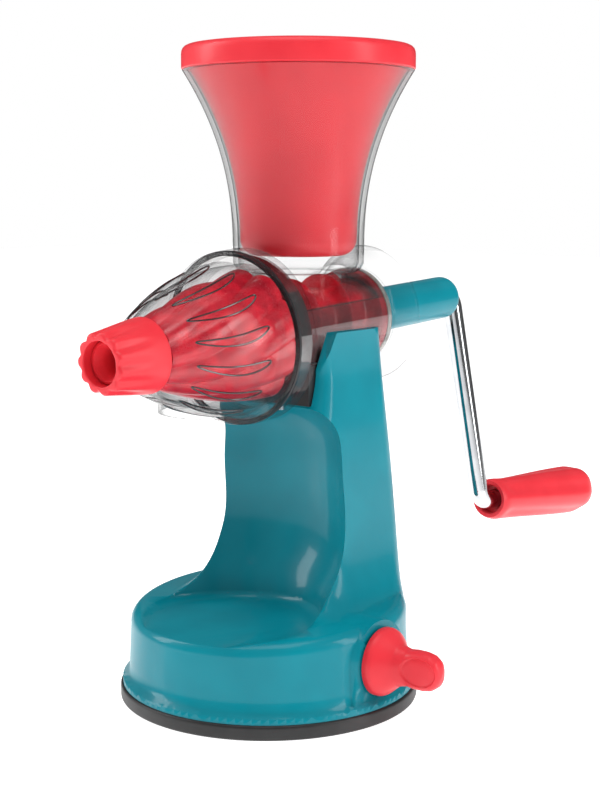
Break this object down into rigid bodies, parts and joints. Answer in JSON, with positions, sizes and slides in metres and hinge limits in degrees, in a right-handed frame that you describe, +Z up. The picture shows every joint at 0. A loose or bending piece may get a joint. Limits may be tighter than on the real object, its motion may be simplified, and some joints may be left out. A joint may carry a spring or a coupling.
{
  "type": "hand crank fruit juicer",
  "caption": "Hand-cranked fruit juicer: suction base, clear barrel with hopper, feed screw, strainer cone, pulp nozzle, bent steel crank with grip, and a lidded pusher.",
  "frame": {"origin": "centre of the suction base's underside, on the table plane", "axes": "+Z up, -Y towards the nozzle, +Y towards the crank, +X on the suction lever's side"},
  "size_m": [0.1745, 0.3845, 0.3116],
  "materials": {
    "teal_plastic": "glossy moulded teal",
    "red_plastic": "glossy moulded coral red",
    "clear_plastic": "clear moulded",
    "black_plastic": "satin black",
    "rubber": "smooth black rubber",
    "white_seal": "pale silicone",
    "dark_seal": "dark silicone",
    "bright_steel": "bright plated steel",
    "inner_plastic": "plain moulded"
  },
  "bodies": {
    "base": {"base_housing": "teal_plastic", "suction_cup": "rubber", "base_plate": "inner_plastic", "base_screws": "bright_steel", "barrel_saddle": "black_plastic", "saddle_screws": "bright_steel"},
    "stem": {"suction_stem": "inner_plastic"},
    "lever": {"cam_shaft": "bright_steel", "shaft_clip": "bright_steel", "lever_knob": "red_plastic"},
    "barrel": {"barrel_hopper": "clear_plastic", "rear_seal": "white_seal", "front_seal": "dark_seal"},
    "crank": {"auger": "red_plastic", "drive_shaft": "bright_steel", "drive_pin": "bright_steel", "rod_pin": "bright_steel", "crank_hub": "teal_plastic", "crank_rod": "bright_steel", "grip_nut": "bright_steel"},
    "grip": {"hand_grip": "red_plastic", "grip_cap": "red_plastic"},
    "cone": {"juice_cone": "clear_plastic"},
    "nozzle": {"nozzle_knob": "red_plastic", "pulp_tube": "red_plastic"},
    "pusher": {"pusher_shell": "red_plastic", "lid": "red_plastic"}
  },
  "joints": [
    {"name": "barrel_lift", "type": "slide", "parent": "base", "child": "barrel", "axis": [0, 0, 1], "range_m": [0, 0.05]},
    {"name": "crank_spin", "type": "hinge", "parent": "barrel", "child": "crank", "pos_m": [0, 0, 0.1767], "axis": [0, -0.9986, -0.0523], "continuous": true},
    {"name": "grip_spin", "type": "hinge", "parent": "crank", "child": "grip", "pos_m": [0.01755, 0.16279, 0.07041], "axis": [-0.0211, -0.9961, 0.0856], "continuous": true},
    {"name": "cone_turn", "type": "hinge", "parent": "barrel", "child": "cone", "pos_m": [0, 0, 0.1767], "axis": [0, -0.9986, -0.0523], "range_deg": [-25, 0]},
    {"name": "nozzle_turn", "type": "hinge", "parent": "cone", "child": "nozzle", "pos_m": [0, 0, 0.1767], "axis": [0, -0.9986, -0.0523], "range_deg": [0, 180]},
    {"name": "pusher_slide", "type": "slide", "parent": "barrel", "child": "pusher", "axis": [0, 0, 1], "range_m": [0, 0.1]},
    {"name": "lever_turn", "type": "hinge", "parent": "base", "child": "lever", "pos_m": [0.07, 0, 0.028], "axis": [1, 0, 0], "range_deg": [0, 90]},
    {"name": "stem_lift", "type": "slide", "parent": "base", "child": "stem", "axis": [0, 0, 1], "range_m": [0, 0.003]}
  ],
  "couplings": [
    {"joint": "stem_lift", "follows": "lever_turn", "m_per_rad": 0.0019099}
  ]
}
